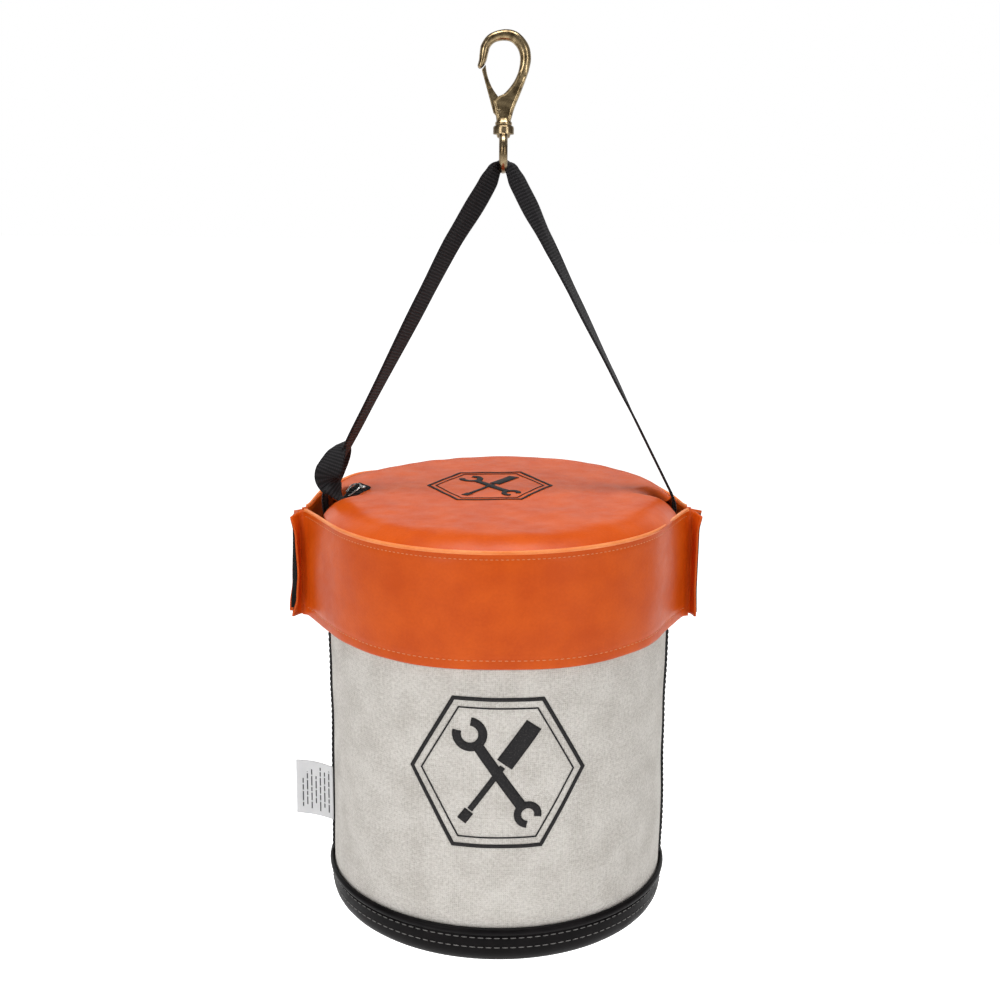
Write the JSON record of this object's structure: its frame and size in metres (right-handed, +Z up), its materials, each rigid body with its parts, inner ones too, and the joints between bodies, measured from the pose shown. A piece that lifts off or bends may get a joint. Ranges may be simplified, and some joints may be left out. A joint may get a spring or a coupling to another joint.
{
  "type": "tool bucket",
  "caption": "Round canvas tool bucket with a moulded base band, a soft vinyl lid with side closure flaps, and a webbing strap hanging from a swivel snap hook.",
  "frame": {"origin": "the hook's bearing point: the inside of the top of its bow, on the swivel axis", "axes": "+Z up along the swivel axis, +X to the right leg of the strap, -Y to the front of the bucket"},
  "size_m": [0.3248, 0.2756, 0.6679],
  "materials": {
    "bronze": "semi-gloss antique bronze plating",
    "spring_steel": "bright",
    "nickel": "polished nickel",
    "hoop_steel": "drawn wire",
    "black_webbing": "ribbed woven nylon",
    "canvas": "plain-weave cotton duck",
    "black_moulding": "satin moulded",
    "board": "matte sheet",
    "tag_cloth": "printed satin tape",
    "orange_vinyl": "glossy vinyl-coated fabric",
    "hook_loop_tape": "hook and loop pile"
  },
  "bodies": {
    "hook": {"hook_body": "bronze", "latch_pin": "bronze", "latch_spring": "spring_steel"},
    "latch": {"latch": "bronze"},
    "swivel": {"swivel_eye": "bronze", "swivel_stud": "bronze"},
    "strap": {"strap_loop": "black_webbing", "tether_loop": "black_webbing"},
    "bucket": {"canvas_wall": "canvas", "canvas_bottom": "canvas", "rim_hem": "canvas", "rim_hoop": "hoop_steel", "base_cup": "black_moulding", "base_piping": "black_moulding", "base_board": "board", "side_webbing_left": "black_webbing", "side_webbing_right": "black_webbing"},
    "tag": {"care_tag": "tag_cloth"},
    "lid": {"lid_top": "orange_vinyl", "lid_welt": "orange_vinyl", "lid_skirt_front": "orange_vinyl", "lid_skirt_back": "orange_vinyl", "tether_tab": "black_webbing", "tether_snap": "nickel"},
    "flap_front_left": {"flange_front_left": "orange_vinyl", "closure_tape_front_left": "hook_loop_tape"},
    "flap_front_right": {"flange_front_right": "orange_vinyl", "closure_tape_front_right": "hook_loop_tape"},
    "flap_back_left": {"flange_back_left": "orange_vinyl", "closure_tape_back_left": "hook_loop_tape"},
    "flap_back_right": {"flange_back_right": "orange_vinyl", "closure_tape_back_right": "hook_loop_tape"}
  },
  "joints": [
    {"name": "latch_hinge", "type": "hinge", "parent": "hook", "child": "latch", "pos_m": [-0.0032, 0, -0.0496], "axis": [0, 1, 0], "range_deg": [0, 28], "stiffness_Nm_per_rad": 0.02, "springref_deg": -17.19},
    {"name": "swivel_spin", "type": "hinge", "parent": "hook", "child": "swivel", "pos_m": [0, 0, -0.059], "axis": [0, 0, 1], "continuous": true},
    {"name": "strap_rock", "type": "hinge", "parent": "swivel", "child": "strap", "pos_m": [0, 0, -0.0905], "axis": [0, 1, 0], "range_deg": [-20, 20]},
    {"name": "bucket_tip", "type": "hinge", "parent": "strap", "child": "bucket", "pos_m": [0, 0, -0.353], "axis": [1, 0, 0], "range_deg": [-12, 12]},
    {"name": "lid_lift", "type": "slide", "parent": "bucket", "child": "lid", "axis": [0, 0, 1], "range_m": [0, 0.012]},
    {"name": "tag_swing", "type": "hinge", "parent": "bucket", "child": "tag", "pos_m": [-0.1318, -0.0102, -0.58025], "axis": [0, 0, 1], "range_deg": [0, 50]},
    {"name": "flap_front_left_open", "type": "hinge", "parent": "lid", "child": "flap_front_left", "pos_m": [-0.1515, -0.0034, -0.39], "axis": [0, 0, 1], "range_deg": [0, 50]},
    {"name": "flap_front_right_open", "type": "hinge", "parent": "lid", "child": "flap_front_right", "pos_m": [0.1515, -0.0034, -0.39], "axis": [0, 0, -1], "range_deg": [0, 50]},
    {"name": "flap_back_left_open", "type": "hinge", "parent": "lid", "child": "flap_back_left", "pos_m": [-0.1515, 0.0034, -0.39], "axis": [0, 0, -1], "range_deg": [0, 50]},
    {"name": "flap_back_right_open", "type": "hinge", "parent": "lid", "child": "flap_back_right", "pos_m": [0.1515, 0.0034, -0.39], "axis": [0, 0, 1], "range_deg": [0, 50]}
  ]
}
